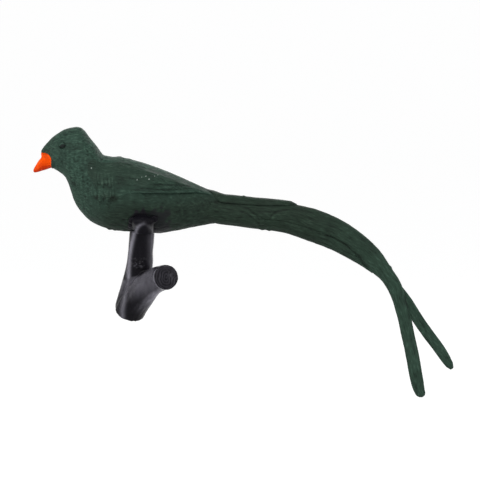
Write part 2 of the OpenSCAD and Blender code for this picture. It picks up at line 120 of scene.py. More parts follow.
bpy.ops.object.select_all(action="DESELECT")
bpy.ops.mesh.primitive_plane_add(size=2 * SWEEP, location=(0, 0, FLOOR_LEVEL))
floor = bpy.context.active_object
floor.name = "floor"
bpy.ops.object.transform_apply(location=True, rotation=False, scale=False)
select_edges(floor, lambda end: end.y > SWEEP / 2)
bpy.ops.mesh.extrude_region_move(TRANSFORM_OT_translate={"value": (0, 0, SWEEP)})
bpy.ops.object.mode_set(mode="OBJECT")
select_edges(floor, lambda end: end.y > SWEEP / 2 and end.z < SWEEP / 2)
bpy.ops.mesh.bevel(offset=SWEEP_ROUND, segments=SWEEP_STEPS)
bpy.ops.object.mode_set(mode="OBJECT")
bpy.ops.object.shade_smooth()
print("Sweep faces:", len(floor.data.polygons))

# %% [markdown]
# Stage, light and paint are all made of shader nodes. Each node could be placed and linked in several
# lines of its own, but a small board that places, sets and links a node in one call is easier to read.

# %% Place and link shader nodes


class Board:
    """Places nodes in an emptied node tree and links them by socket name."""

    def __init__(self, tree):
        self.tree = tree
        tree.nodes.clear()

    def add(self, kind, inputs=None, **settings):
        """A new node, with inputs that are linked if they are sockets and set if they are values."""
        node = self.tree.nodes.new(kind)
        for key, value in settings.items():
            setattr(node, key, value)
        for key, value in (inputs or {}).items():
            if isinstance(value, bpy.types.NodeSocket):
                self.tree.links.new(value, node.inputs[key])
            else:
                node.inputs[key].default_value = value
        return node


def maths(board, operation, first, second):
    """The socket of one operation on two values."""
    return board.add("ShaderNodeMath", {0: first, 1: second}, operation=operation).outputs[0]


def seen_directly(board):
    """A socket that is 1 for camera rays, glossy rays and rays through clear things, and 0 for others."""
    path = board.add("ShaderNodeLightPath").outputs
    mirrored = maths(board, "MAXIMUM", path["Is Glossy Ray"], path["Is Transmission Ray"])
    return maths(board, "MAXIMUM", path["Is Camera Ray"], mirrored)


print("Node helpers:", Board.__name__, maths.__name__, seen_directly.__name__)

# %% [markdown]
# A plain white floor would need strong lamps to come out white, and they would bleach the bird. So the
# sweep's material is a mix of two shaders: a pale diffuse one takes the light and the shadow, and a white
# glow is what the camera, glossy rays and rays through clear things mostly see. Other rays see only the
# diffuse one, so the glow shows in the gloss of the bird but puts no other light on it.

# %% Stage material
GLOW_SHARE, GLOW = 0.85, 1.12
PALE, WHITE = (0.85, 0.85, 0.85, 1), (1, 1, 1, 1)
material = bpy.data.materials.new("pale_sweep")
material.use_nodes = True
board = Board(material.node_tree)
pale = board.add("ShaderNodeBsdfDiffuse", {"Color": PALE})
glow = board.add("ShaderNodeEmission", {"Color": WHITE, "Strength": GLOW})
share = maths(board, "MULTIPLY", seen_directly(board), GLOW_SHARE)
sweep = board.add("ShaderNodeMixShader", {0: share, 1: pale.outputs["BSDF"], 2: glow.outputs["Emission"]})
board.add("ShaderNodeOutputMaterial", {"Surface": sweep.outputs["Shader"]})
floor.data.materials.append(material)
print("Sweep is white to the camera by a share of", GLOW_SHARE)

# %% [markdown]
# Soft boxes light the figure as in a small product studio: a broad one above and in front, a tall one at
# each side that draws the long highlights on the glossy branch, and one behind for the upper rim. The
# world adds a dim surround, and is white only to the rays that see it directly.

# %% Lamps and surround
SOFT_BOXES = {
    "top_box": ((-60, -400, 380), (0.5, 0.4), 2.4),
    "left_box": ((-420, -130, 60), (0.16, 0.5), 1.0),
    "right_box": ((430, -170, 60), (0.14, 0.5), 0.9),
    "back_box": ((60, 400, 300), (0.6, 0.4), 2.0),
}
LAMPS_AIM = Vector((10, 0, 20)) * MM
SURROUND, SURROUND_TINT = 0.3, (0.95, 0.97, 1.0, 1)
for name, (place_in_mm, size, power) in SOFT_BOXES.items():
    place = Vector(place_in_mm) * MM
    bpy.ops.object.light_add(type="AREA", location=place, rotation=turned_to(place, LAMPS_AIM))
    lamp = bpy.context.active_object
    lamp.name = name
    lamp.data.shape = "RECTANGLE"
    lamp.data.size, lamp.data.size_y = size
    lamp.data.energy = power
world = bpy.context.scene.world or bpy.data.worlds.new("surround")
bpy.context.scene.world = world
world.use_nodes = True
board = Board(world.node_tree)
dim = board.add("ShaderNodeBackground", {"Color": SURROUND_TINT, "Strength": SURROUND}).outputs[0]
white = board.add("ShaderNodeBackground", {"Color": WHITE}).outputs[0]
either = board.add("ShaderNodeMixShader", {0: seen_directly(board), 1: dim, 2: white})
board.add("ShaderNodeOutputWorld", {"Surface": either.outputs[0]})
bpy.context.scene.view_settings.view_transform = "Standard"
print("Lamps:", sorted(SOFT_BOXES))

# %% [markdown]
# The sculpting below is done by formulas on whole lists of vertices in mm, because that is quicker and
# easier to read than a loop over the vertices. Short helpers read where the vertices are and which way
# they face, put them back, and keep a value per vertex on the mesh for the paint.

# %% Read and move vertices


def ramp(value, low, high):
    """Smooth step from 0 at low to 1 at high."""
    share = np.clip((value - low) / (high - low), 0, 1)
    return share * share * (3 - 2 * share)


def read_mm(piece):
    """The places of the piece's vertices in mm."""
    places = np.empty(3 * len(piece.data.vertices), np.float32)
    piece.data.vertices.foreach_get("co", places)
    return places.reshape(-1, 3).astype(float) / MM


def outward_of(piece):
    """The outward directions of the piece's vertices."""
    outward = np.empty(3 * len(piece.data.vertices), np.float32)
    piece.data.vertex_normals.foreach_get("vector", outward)
    return outward.reshape(-1, 3).astype(float)


def place_mm(piece, places):
    """Puts the piece's vertices at places in mm."""
    piece.data.vertices.foreach_set("co", (places * MM).astype(np.float32).ravel())
    piece.data.update()


def keep_mark(piece, name, values):
    """Keeps one value or one direction per vertex on the mesh."""
    kind, field = ("FLOAT", "value") if values.ndim == 1 else ("FLOAT_VECTOR", "vector")
    store = piece.data.attributes.new(name, kind, "POINT")
    store.data.foreach_set(field, values.astype(np.float32).ravel())


print("Halfway up a ramp:", ramp(0.5, 0, 1))

# %% [markdown]
# The CAD pieces are faceted, and the real ones are soft plastic with plumage pressed into the mould. A
# subdivided copy would keep the facets, so a piece is rebuilt from small even faces by the Remesh
# modifier and then smoothed. The remesh leaves loose crumbs at thin edges, and they are deleted.

# %% Even faces and smoothing
CRUMB_TRIES = 20
SMOOTH_FACTOR = 0.5


def soften(piece, times, weights=None):
    """Smooths the active piece so many times, each vertex by its weight."""
    modifier = piece.modifiers.new("soften", "SMOOTH")
    modifier.factor = SMOOTH_FACTOR
    modifier.iterations = times
    if weights is not None:
        soft = piece.vertex_groups.new(name="soft")
        for index in np.flatnonzero(weights > 0):
            soft.add([int(index)], float(weights[index]), "REPLACE")
        modifier.vertex_group = soft.name
    bpy.ops.object.modifier_apply(modifier=modifier.name)
    piece.vertex_groups.clear()


def drop_crumbs(piece):
    """Keeps only the largest connected body of the active piece."""
    count = len(piece.data.vertices)
    for start in range(0, count, max(count // CRUMB_TRIES, 1)):
        bpy.ops.object.mode_set(mode="EDIT")
        bpy.ops.mesh.select_mode(type="VERT")
        bpy.ops.mesh.select_all(action="DESELECT")
        bpy.ops.object.mode_set(mode="OBJECT")
        piece.data.vertices[start].select = True
        bpy.ops.object.mode_set(mode="EDIT")
        bpy.ops.mesh.select_linked()
        if piece.data.total_vert_sel > count / 2:
            break
    bpy.ops.mesh.select_all(action="INVERT")
    bpy.ops.mesh.delete(type="VERT")
    bpy.ops.object.mode_set(mode="OBJECT")


def even_faces(piece, voxel):
    """Rebuilds the active piece from small even faces of about voxel mm."""
    remesh = piece.modifiers.new("even_faces", "REMESH")
    remesh.mode = "VOXEL"
    remesh.voxel_size = voxel * MM
    bpy.ops.object.modifier_apply(modifier=remesh.name)
    drop_crumbs(piece)
    bpy.ops.object.shade_smooth()


print("Each smoothing moves a vertex by a share of", SMOOTH_FACTOR)

# %% [markdown]
# Each piece starts as a copy of its CAD node, which is hidden and stays for collision. The copy drops the
# node's parent and marks, its loose triangles are merged, and then it gets its even faces. It is now fine
# enough to carry the plumage as real geometry.

# %% A fine copy of a CAD piece
MERGE_GAP = 1e-6


def fine_copy(node, voxel, smooth, firm=None):
    """A copy of a CAD node in faces of about voxel mm, smoothed so many times, fading out along firm."""
    bpy.ops.object.select_all(action="DESELECT")
    source = frame["nodes"][node]
    source.select_set(True)
    bpy.context.view_layer.objects.active = source
    bpy.ops.object.duplicate()
    piece = bpy.context.active_object
    bpy.ops.object.parent_clear(type="CLEAR_KEEP_TRANSFORM")
    for key in list(piece.keys()):
        del piece[key]
    piece.name = piece.data.name = node + "_skin"
    piece.data.materials.clear()
    bpy.ops.object.mode_set(mode="EDIT")
    bpy.ops.mesh.select_all(action="SELECT")
    bpy.ops.mesh.remove_doubles(threshold=MERGE_GAP)
    bpy.ops.object.mode_set(mode="OBJECT")
    even_faces(piece, voxel)
    soften(piece, smooth, 1 - ramp(read_mm(piece)[:, 0], *firm) if firm else None)
    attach(piece, "root")
    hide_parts(node)
    return piece


print("Fine copies to make:", len(frame["nodes"]))

# %% [markdown]
# The plumage of the mould is combed into fine wavy locks. A brush texture would need a hand, so a formula
# does it: numbers that are fixed for each cell of a grid are blended smoothly into a grain, the grain is
# stretched along the feathers, and folded so that its middle values become sharp crests. It is the same
# on every run.

# %% Combed plumage


def chance(i, j, k):
    """A fixed number from 0 to 1 for one cell of a grid."""
    value = np.sin(i * 12.9898 + j * 78.233 + k * 37.719) * 43758.5453
    return value - np.floor(value)


def grain(points, size, seed):
    """Smooth noise from 0 to 1, with grains of the given size along each of the three directions."""
    cell = points / np.array(size) + 0.37 * seed
    corner = np.floor(cell)
    share = cell - corner
    share = share * share * (3 - 2 * share)
    total = np.zeros(len(points))
    for step in np.ndindex(2, 2, 2):
        weight = np.prod(np.where(np.array(step) == 1, share, 1 - share), axis=1)
        total += weight * chance(*(corner + step).T + np.array([[0], [0], [seed]]))
    return total


def combed(points, seed, lock, thick):
    """Crests from 0 to 1 of locks so many mm long and thick, along the first direction of points."""
    sway = 1.6 * thick * (grain(points, (0.9 * lock, 3 * thick, 3 * thick), seed) - 0.5)
    bent = points + np.column_stack([0 * sway, sway, sway])
    broad = 1 - np.abs(2 * grain(bent, (lock, thick, thick), seed + 1) - 1)
    thin = 1 - np.abs(2 * grain(bent, (0.6 * lock, 0.55 * thick, 0.55 * thick), seed + 2) - 1)
    return np.clip(1.5 * (0.6 * broad + 0.4 * thin) - 0.45, 0, 1)


def tilted(points, slope):
    """The points sheared upwards by slope mm per mm of x, so that locks combed on them run downwards."""
    x = points[:, 0]
    return points + np.column_stack([0 * x, 0 * x, slope * x])


print("Grain at one place:", round(float(grain(np.array([[1.0, 2.0, 3.0]]), (1, 1, 1), 0)[0]), 3))

# %% [markdown]
# Besides the locks the mould has single grooves, and here and there a small tuft that stands out from the
# outline. A groove follows a line of places seen from the side, and runs out softly at both ends. A tuft is
# a round bump at one place.

# %% Grooves and tufts


def line_gap(points, line):
    """Distance of each vertex, from the side, to a line of (x, z) places, and the share along the line."""
    line = np.array(line, float)
    gap = np.full(len(points), 1e9)
    share = np.zeros(len(points))
    for i, (a, b) in enumerate(zip(line[:-1], line[1:])):
        off = points[:, [0, 2]] - a
        f = np.clip(off @ (b - a) / ((b - a) @ (b - a)), 0, 1)
        far = np.hypot(*(off - f[:, None] * (b - a)).T)
        share = np.where(far < gap, (i + f) / (len(line) - 1), share)
        gap = np.minimum(far, gap)
    return gap, share


def carved(points, lines, wide):
    """Depth from 0 to 1 of grooves so many mm wide along lines, running out at both ends."""
    depth = np.zeros(len(points))
    for line in lines:
        gap, share = line_gap(points, line)
        fade = ramp(share, 0, 0.15) * (1 - ramp(share, 0.85, 1))
        depth = np.maximum(depth, np.exp(-(gap / (wide / 2)) ** 2) * (0.25 + 0.75 * fade))
    return depth


def tufted(points, tufts):
    """Height in mm of round tufts, each given by its x, z, size and rise."""
    height = np.zeros(len(points))
    for tuft_x, tuft_z, size, rise in tufts:
        away = (points[:, 0] - tuft_x) ** 2 + (points[:, 2] - tuft_z) ** 2
        height += rise * np.exp(-away / size ** 2)
    return height


print("A place 2 mm off a line:", line_gap(np.array([[0.0, 0.0, 2.0]]), [(-1, 0), (1, 0)])[0])

# %% [markdown]
# A height per vertex becomes shape as a sculpting brush would make it: each vertex moves along its own
# outward direction. How light or dark the paint lies there is kept apart from the height, as a mark on the
# mesh, and so is the direction of the feathers, for the hair lines in the paint.

# %% Raise the plumage and keep marks for the paint


def raise_skin(piece, height, **marks):
    """Moves each vertex outwards by height mm and keeps the named marks on the mesh."""
    place_mm(piece, read_mm(piece) + height[:, None] * outward_of(piece))
    for name, values in marks.items():
        keep_mark(piece, name, values)
    lowest, highest = round(float(height.min()), 2), round(float(height.max()), 2)
    print(piece.name, "faces", len(piece.data.polygons), "height", lowest, "to", highest, "mm")


print("Marks for the paint: relief, dusk, soot, fleck, flow, rub, deep")

# %% [markdown]
# The wings and coverts of the real figure have no free edge where they start: they grow out of the back.
# Their pieces are thin shells laid on the body, so near such an edge the outer face is drawn down onto the
# skin below, and the inner face into it. The nearest place on that skin is found with a search tree.

# %% Draw an edge down onto the skin below
LEAST_SHARE = 0.01
EDGE_SMOOTH = 4


def press_onto(piece, skins, share, outside, inside):
    """Draws vertices by their share to outside mm above the skins, or to inside if they face the skins."""
    places, outward = read_mm(piece), outward_of(piece)
    reach = bpy.context.evaluated_depsgraph_get()
    trees = [BVHTree.FromObject(skin, reach) for skin in skins]
    drawn = np.flatnonzero(share > LEAST_SHARE)
    for index in drawn:
        spot = Vector(places[index] * MM)
        nearest = min((tree.find_nearest(spot) for tree in trees), key=lambda found: found[3])
        face_out = nearest[1]
        height = (spot - nearest[0]).dot(face_out) / MM
        target = outside if Vector(outward[index]).dot(face_out) > 0 else inside
        places[index] += share[index] * (target - height) * np.array(face_out)
    place_mm(piece, places)
    soften(piece, EDGE_SMOOTH, np.clip(2 * share, 0, 1))
    print(piece.name, "drawn onto", [skin.name for skin in skins], "at", len(drawn), "vertices")


print("A drawn edge is smoothed", EDGE_SMOOTH, "times")

# %% [markdown]
# On the shoulder the long plumes hang straight down over the front of the wing and end in a ragged hem.
# They are strips side by side, each with its own hem, and the gaps between them open towards the hem. The
# same rule is used on the body and on the wing, so that the strips pass from one to the other.

# %% Hanging shoulder plumes
HEM_FRONT, HEM_MIDDLE, HEM_REAR, HEM_TOP = -10.8, -4.5, -1.6, 44.5
LOW_PLUMES, HIGH_PLUMES = (1.15, 34.0), (0.95, 37.6)
SHOULDER_SEED = 5


def hanging(points, wide, hem, seed):
    """Height, paint and share, each 0 to 1, of plumes so many mm wide that end near height hem."""
    x, z = points[:, 0], points[:, 2]
    sway = 0.7 * (grain(points, (1.6, 50, 4.0), seed) - 0.5)
    place = (x + sway + 0.1 * (z - hem)) / wide
    strip = np.floor(place)
    across = 2 * (place - strip) - 1
    own_hem = hem + 2.2 * (chance(strip, 0 * strip, seed) - 0.5) + 0.06 * (x - HEM_MIDDLE) ** 2
    tip = own_hem + 0.9 * across ** 2
    lain = ramp(z, tip, tip + 0.3)
    gap = np.abs(across) ** 5 * ramp(-z, -own_hem - 7, -own_hem - 0.5)
    # The paint is darker in the gaps between strips as painted shade, and a painted shadow lies below each
    # tip.
    tip_shadow = np.exp(-np.clip(tip - z, 0, 9) / 0.45) * (z < tip)
    height = lain * (1 - 0.8 * gap)
    paint = np.clip(lain * (0.72 - 1.1 * gap) + 0.5 * (1 - lain) - tip_shadow, 0, 1)
    share = ramp(x, HEM_FRONT, HEM_FRONT + 2.5) * (1 - ramp(x, HEM_REAR - 2.2, HEM_REAR))
    share = share * (1 - ramp(z, HEM_TOP - 4.5, HEM_TOP)) * ramp(z, hem - 3.6, hem - 2.6)
    return height, paint, share


def shoulder(points):
    """Height, paint and share of the two layers of shoulder plumes."""
    low_height, low_paint, low_share = hanging(points, *LOW_PLUMES, SHOULDER_SEED)
    high_height, high_paint, high_share = hanging(points, *HIGH_PLUMES, SHOULDER_SEED + 3)
    top = ramp(points[:, 2], 36.4, 38.0) * high_share
    upright = points[:, [2, 0, 1]]
    strands = 0.5 * (combed(upright, SHOULDER_SEED + 6, lock=3.0, thick=0.5) - 0.5)
    height = 0.7 * low_height * (1 - top) + (0.7 + 0.3 * high_height) * top
    paint = low_paint * (1 - 0.75 * top) + 0.75 * high_paint * top + strands
    return height, np.clip(paint, 0, 1), low_share


print("Shoulder plumes hang between x", HEM_FRONT, "and", HEM_REAR)

# %% [markdown]
# Under the hem the paint is dark in a few soft patches. The hem is too shallow to cast them as shadows, so
# they are painted: how dark the paint is anywhere is one mark, called dusk, on the body and wing alike.

# %% Shade under the hem
HEM_SHADES = ((-3.2, 34.3, 1.7, 1.6, 1.1), (-8.2, 34.8, 1.3, 1.0, 0.8), (-5.6, 35.2, 1.2, 1.0, 0.6))


def hem_shaded(points, dusk):
    """The dusk with the patches under the hem, each given by its x, z, width, height and strength."""
    for hem_x, hem_z, wide, high, strength in HEM_SHADES:
        away = -((points[:, 0] - hem_x) / wide) ** 2 - ((points[:, 2] - hem_z) / high) ** 2
        dusk = np.maximum(dusk, strength * np.exp(away))
    return dusk


print("Patches under the hem:", len(HEM_SHADES))

# %% [markdown]
# On the body the locks are short and fine on the head, and grow longer and deeper towards the belly and
# flanks. The eye lies in a small hollow with calm skin round it, and a few tufts break the outline.

# %% Body: copy, plumage and height
BODY_VOXEL, BODY_SMOOTH, BODY_FIRM = 0.215, 20, (22.5, 25.0)
LOCK_DEPTH = ((-25, -21, -12, 0, 22, 26), (0.02, 0.07, 0.1, 0.13, 0.13, 0.05))
BODY_HEM_RISE, EYE_HOLLOW = 0.42, 0.05
BODY_TUFTS = (
    (-5.4, 24.6, 0.6, 0.35), (-3.6, 24.3, 0.5, 0.2), (-1.9, 46.4, 1.1, 0.3),
    (0.8, 46.3, 0.6, 0.2), (9.6, 24.0, 2.4, 0.4),
)
body = fine_copy("body", BODY_VOXEL, BODY_SMOOTH, BODY_FIRM)
places = read_mm(body)
x, z = places[:, 0], places[:, 2]
head = combed(places, seed=3, lock=1.3, thick=0.5)
flank = combed(tilted(places, slope=0.08), seed=4, lock=3.0, thick=0.8)
low_share = ramp(x, -13, -4) * (1 - ramp(z, 33, 38))
locks = head + (flank - head) * low_share
hem_height, hem_paint, hem_share = shoulder(places)
eye_low, eye_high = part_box("left_eye")
EYE = np.array((eye_low + eye_high) / 2) / MM
eye_gap = np.hypot((x - EYE[0]) / 1.3, (z - EYE[2]) / 0.95)
hollow = np.exp(-eye_gap ** 4)
calm = 1 - np.exp(-(eye_gap / 1.5) ** 4)
depth = np.interp(x, *LOCK_DEPTH) + 0.03 * low_share
height = depth * (locks - 0.4) * calm * (1 - hem_share) + BODY_HEM_RISE * hem_height * hem_share
height += tufted(places, BODY_TUFTS) - EYE_HOLLOW * hollow
print("Eye at", EYE.round(2), "mm, and", int((hem_share > 0).sum()), "vertices under shoulder plumes")

# %% [markdown]
# The body's paint is pale on the crests and dark in the grooves, partly as painted light and shade. It is
# darker in the eye's hollow as painted shade, and a painted highlight lies just below the eye.
# Round the legs the black of the branch was sprayed onto the belly with a ragged edge. Belly and rump lie
# in dusk. At the rear the body's skin laps over the root of the tail, so that no gap shows there.

# %% Body: paint marks and lap
SPRAY = (((5.2, 26.4), (4.4, 4.6), 1.0), ((9.2, 27.0), (4.2, 4.8), 0.8))
HEM_SMOOTH = 3
LAP, LAP_FROM, LAP_TO = 0.6, 25.0, 26.5
paint = 0.5 + (locks - 0.5) * (1 - 0.35 * low_share)
# Darker paint in the eye's hollow is painted shade.
paint = (paint * calm + 0.45 * (1 - calm)) * (1 - hem_share) + hem_paint * hem_share - 0.3 * hollow
# A painted highlight lies just below the eye.
lid_and_highlight = np.exp(-(((x - EYE[0] - 0.1) / 0.8) ** 2 + ((z - EYE[2] + 0.95) / 0.3) ** 2))
paint = np.clip(paint + 0.35 * lid_and_highlight, 0, 1)
soot = np.zeros(len(x))
ragged = 0.9 * (grain(places, (1.1, 1.1, 1.1), seed=8) - 0.5)
for (spray_x, spray_z), (wide, high), strength in SPRAY:
    gap = np.hypot((x - spray_x) / wide, (z - spray_z) / high)
    soot = np.maximum(soot, strength * (1 - ramp(gap + ragged, 0.7, 1.15)))
dusk = ramp(x, -14, 2) * (1 - ramp(z, 27, 42)) + 0.2 * ramp(x, 10, 24)
dusk += 0.08 + 0.34 * ramp(x, -16, -6) * (1 - ramp(z, 26, 35))
raise_skin(body, height, relief=paint, soot=soot, dusk=hem_shaded(places, dusk), flow=places)
soften(body, HEM_SMOOTH, hem_share)
places = read_mm(body)
places[:, 0] += LAP * ramp(places[:, 0], LAP_FROM, LAP_TO)
place_mm(body, places)
print("The body laps", LAP, "mm over the root of the tail")

# %% [markdown]
# The wings keep the tiled flight feathers of their CAD pieces. Their upper edge is pressed down into the
# back, because on the real figure the wing grows out of it with no edge. Long grooves part the lowest
# flight feathers, fine lines run along the wing, and the shoulder plumes hang over its front. Outer faces
# are raised, and the inner ones, which look back to the body's axis, follow, so that the shell keeps its
# thickness. A few pale specks are painted on the left wing.

# %% Sculpt the wings
WING_VOXEL, WING_SMOOTH = 0.14, 4
WING_GROOVES = [
    [(2.6, 38.0), (8.5, 37.3), (14.0, 37.0), (21.0, 37.3)],
    [(7.5, 38.8), (14.0, 38.4), (20.0, 37.8)],
]
WING_LINE_RISE, WING_GROOVE_DEEP, WING_HEM_RISE = 0.05, 0.12, 0.35
ABOVE_AXIS = 6
SPECKS = (
    (-9.8, 43.5, 0.22), (3.75, 40.3, 0.22), (5.1, 40.9, 0.15), (6.3, 41.05, 0.17),
    (7.2, 40.2, 0.26), (8.8, 41.0, 0.14), (9.7, 41.3, 0.14),
)
STATIONS = np.arange(-11, 27, 1.0)
for side, seed, specks in (("left", 11, SPECKS), ("right", 12, ())):
    wing = fine_copy(side + "_wing", WING_VOXEL, WING_SMOOTH)
    places, outward = read_mm(wing), outward_of(wing)
    x, y, z = places.T
    lines = combed(tilted(places, slope=0.09), seed, lock=6.0, thick=0.7)
    grooves = carved(places, WING_GROOVES, wide=0.5)
    hem_height, hem_paint, hem_share = shoulder(places)
    bare = 1 - hem_share
    outer = np.sign(outward[:, 1] * y + outward[:, 2] * ABOVE_AXIS)
    height = (WING_LINE_RISE * (lines - 0.4) - WING_GROOVE_DEEP * grooves) * bare
    height = outer * (height + WING_HEM_RISE * hem_height * hem_share)
    # The paint is pale on the fine lines and dark in the grooves, partly as painted light and shade.
    paint = (0.2 + 0.6 * lines) * bare + hem_paint * hem_share
    paint = np.clip(paint - 0.5 * grooves * bare, 0, 1)
    fleck = np.zeros(len(x))
    ragged = 0.05 * (grain(places, (0.15, 0.15, 0.15), seed=14) - 0.5)
    for speck_x, speck_z, size in specks:
        away = np.hypot(x - speck_x, z - speck_z) + ragged
        fleck = np.maximum(fleck, 1 - ramp(away, 0.4 * size, size))
    dusk = hem_shaded(places, 0.42 * ramp(z, 35, 40))
    raise_skin(wing, height, relief=paint, fleck=0.8 * fleck, dusk=dusk, flow=places)
    crown = np.array([z[np.abs(x - station) < 1].max() for station in STATIONS])
    below_top = np.interp(x, STATIONS, crown) - z
    fading = np.maximum(1 - ramp(x, 0.5, 8), 0.8 * ramp(x, 19, 24.5))
    fading = np.maximum(fading, 1 - ramp(below_top, 0.3, 1.8))
    press_onto(wing, [body], fading, outside=0.05, inside=-0.3)

# %% [markdown]
# The tail feathers follow a curved spine that forks into two. Each vertex is measured by its nearest point
# on the spine: how far along it is, and how far above it. Long fine locks then run along the plumes.

# %% Tail spines
SPINE = [(26.7, 30.5), (37.1, 29.3), (49.1, 27.8), (61.1, 23.8), (70.5, 18.1), (76.4, 12.7), (80.3, 7.4)]
LEFT_END = [(82.8, 0.1), (84.4, -6.6), (86.0, -13.8), (87.4, -21.1), (88.7, -26.3)]
RIGHT_END = [(83.9, 3.0), (87.6, -2.7), (91.0, -7.5), (94.5, -12.3), (98.1, -17.8)]
SPINE_MARKS = 240
AT_ONCE = 20000


def along_spine(points, line):
    """Each vertex as distance along a line of (x, z) places, offset across it and height above it."""
    line = np.array(line)
    lengths = np.concatenate([[0], np.cumsum(np.hypot(*np.diff(line, axis=0).T))])
    marks = np.linspace(0, lengths[-1], SPINE_MARKS)
    fine = np.column_stack([np.interp(marks, lengths, line[:, k]) for k in (0, 1)])
    heads = np.gradient(fine, axis=0)
    heads /= np.hypot(*heads.T)[:, None]
    best = np.empty(len(points), int)
    for start in range(0, len(points), AT_ONCE):
        part = points[start:start + AT_ONCE, [0, 2]]
        best[start:start + AT_ONCE] = ((part[:, None, :] - fine[None]) ** 2).sum(2).argmin(1)
    off = points[:, [0, 2]] - fine[best]
    along = marks[best] + (off * heads[best]).sum(1)
    up = -off[:, 0] * heads[best, 1] + off[:, 1] * heads[best, 0]
    return np.column_stack([along, points[:, 1], up])


print("Spine points:", len(SPINE))

# %% [markdown]
# Where one feather ends on the next, the mould has a curved groove with a raised rim. These lines are cut
# on both sides of the tail, and so is the crease where the two plumes part.

# %% Tail lines and tufts
TAIL_GROOVES = [
    [(22.5, 33.5), (32.0, 32.6), (41.5, 31.8), (47.5, 31.7)],
    [(27.5, 32.9), (32.8, 32.2), (36.5, 31.0), (38.8, 29.2), (39.8, 27.3)],
    [(32.5, 31.2), (36.0, 29.6), (38.6, 27.6), (40.4, 25.6)],
    [(42.6, 27.9), (43.5, 29.4), (45.3, 30.4), (48.0, 30.8), (51.5, 30.7)],
    [(57.5, 23.6), (62.0, 22.3), (66.0, 19.9), (69.5, 16.6), (71.6, 14.2)],
]
TAIL_RIMS = [
    [(28.5, 32.2), (33.0, 31.5), (36.0, 30.4), (38.0, 28.8), (39.0, 27.2)],
    [(43.2, 27.6), (44.1, 29.0), (45.6, 29.8), (48.5, 30.2)],
]
FORK_CREASE = [[(83.0, 5.2), (84.3, 1.0), (84.9, -3.2)]]
TAIL_TUFTS = (
    (35.1, 34.8, 0.5, 0.25), (40.5, 24.7, 0.6, 0.22), (42.6, 24.5, 0.5, 0.2), (79.2, 13.2, 0.6, 0.25),
    (89.2, -25.4, 0.9, 0.5), (86.2, -25.6, 0.8, -0.15),
)
print("Grooves on the tail:", len(TAIL_GROOVES) + len(FORK_CREASE))

# %% [markdown]
# All six tail pieces are sculpted by one rule. Each stands a little proud, which closes the fine seams
# between them. The coverts start on the body and are drawn down onto it there, and the rim and the end of
# the top covert are drawn down onto the plumes.

# %% Sculpt the tail feathers
SEAM_FILL, TAIL_GROOVE_DEEP, TAIL_RIM_RISE = 0.08, 0.09, 0.06
PLUME_FIRM = (30.0, 27.5)
TAIL_PIECES = (
    ("left_plume", SPINE + LEFT_END, 21, 0.18, 4, 0.1),
    ("right_plume", SPINE + RIGHT_END, 22, 0.18, 4, 0.1),
    ("under_plume", SPINE, 23, 0.18, 4, 0.12),
    ("top_covert", SPINE, 24, 0.12, 2, 0.08),
    ("left_covert", SPINE, 25, 0.11, 2, 0.08),
    ("right_covert", SPINE, 26, 0.11, 2, 0.08),
)
for name, line, seed, voxel, smooth, lock_rise in TAIL_PIECES:
    feather = fine_copy(name, voxel, smooth, PLUME_FIRM if "plume" in name else None)
    places = read_mm(feather)
    flow = along_spine(places, line)
    locks = combed(flow, seed, lock=6.0, thick=0.7)
    crease = FORK_CREASE if name == "left_plume" else []
    grooves = carved(places, TAIL_GROOVES + crease, wide=0.55)
    rims = carved(places, TAIL_RIMS, wide=0.5)
    height = SEAM_FILL + lock_rise * (locks - 0.4) - TAIL_GROOVE_DEEP * grooves + TAIL_RIM_RISE * rims
    # The paint is darker in the grooves and paler on the rims, partly as painted shade and painted
    # highlight.
    paint = np.clip(0.2 + 0.6 * locks - 0.5 * grooves + 0.25 * rims, 0, 1)
    dusk = 0.9 - 0.86 * ramp(flow[:, 0], 22, 66)
    raise_skin(feather, height + tufted(places, TAIL_TUFTS), relief=paint, dusk=dusk, flow=flow)
    x, y = places[:, 0], places[:, 1]
    if "covert" in name:
        press_onto(feather, [body], 1 - ramp(x, 23.7, 26.2), outside=0.04, inside=-0.35)
    if name == "top_covert":
        plumes = [bpy.data.objects[side + "_plume_skin"] for side in ("left", "right")]
        rim = 0.55 * ramp(np.abs(y), 1.2, 2.6) * ramp(x, 26.5, 28.5)
        rim = np.maximum(rim, 0.8 * ramp(x, 49.0, 51.0))
        press_onto(feather, plumes, rim, outside=0.15, inside=-0.3)

# %% [markdown]
# The bill has no plumage, but the same fine copy takes away its facets. The cheek's green laps over the
# root of the bill with a small step, and the bill has a short upright stub below the forehead. Its paint
# is darker on the underside, as painted shade, and darker at the tip.

# %% Bill
BILL_VOXEL, BILL_SMOOTH = 0.09, 2
CHEEK_LINE = ((43.0, 45.97, 46.87, 47.38), (-22.16, -22.16, -22.52, -23.5))
CHEEK_STEP = 0.16
bill = fine_copy("bill", BILL_VOXEL, BILL_SMOOTH)
places = read_mm(bill)
x, z = places[:, 0], places[:, 2]
cheek = ramp(x - np.interp(z, *CHEEK_LINE), -0.1, 0.1)
# Faces that look down are painted darker as shade, and the tip is darker paint.
under = ramp(-outward_of(bill)[:, 2], -0.1, 0.85)
tip = ramp(-x, 25.6, 27.6)
raise_skin(bill, CHEEK_STEP * cheek, rub=cheek, deep=np.clip(0.85 * under + 0.35 * tip, 0, 1))
places = read_mm(bill)
front = ramp(-outward_of(bill)[:, 0], 0.2, 0.7)
stub = -0.22 * np.exp(-((z - 47.2) / 0.45) ** 2) + 0.2 * np.exp(-((z - 46.1) / 0.6) ** 2)
places[:, 0] += front * stub
places[:, 2] += 0.35 * ramp(z, 46.5, 47.35) * ramp(-x, 22.4, 22.9)
place_mm(bill, places)
print("Bill tip at x", round(float(places[:, 0].min()), 2), "mm")

# %% [markdown]
# The eye of the real figure is a nearly flat dark almond between green lids. Its piece is a round bead, so
# the bead is flattened a little, its rim is raised and painted green as lids, and the almond stays dark.

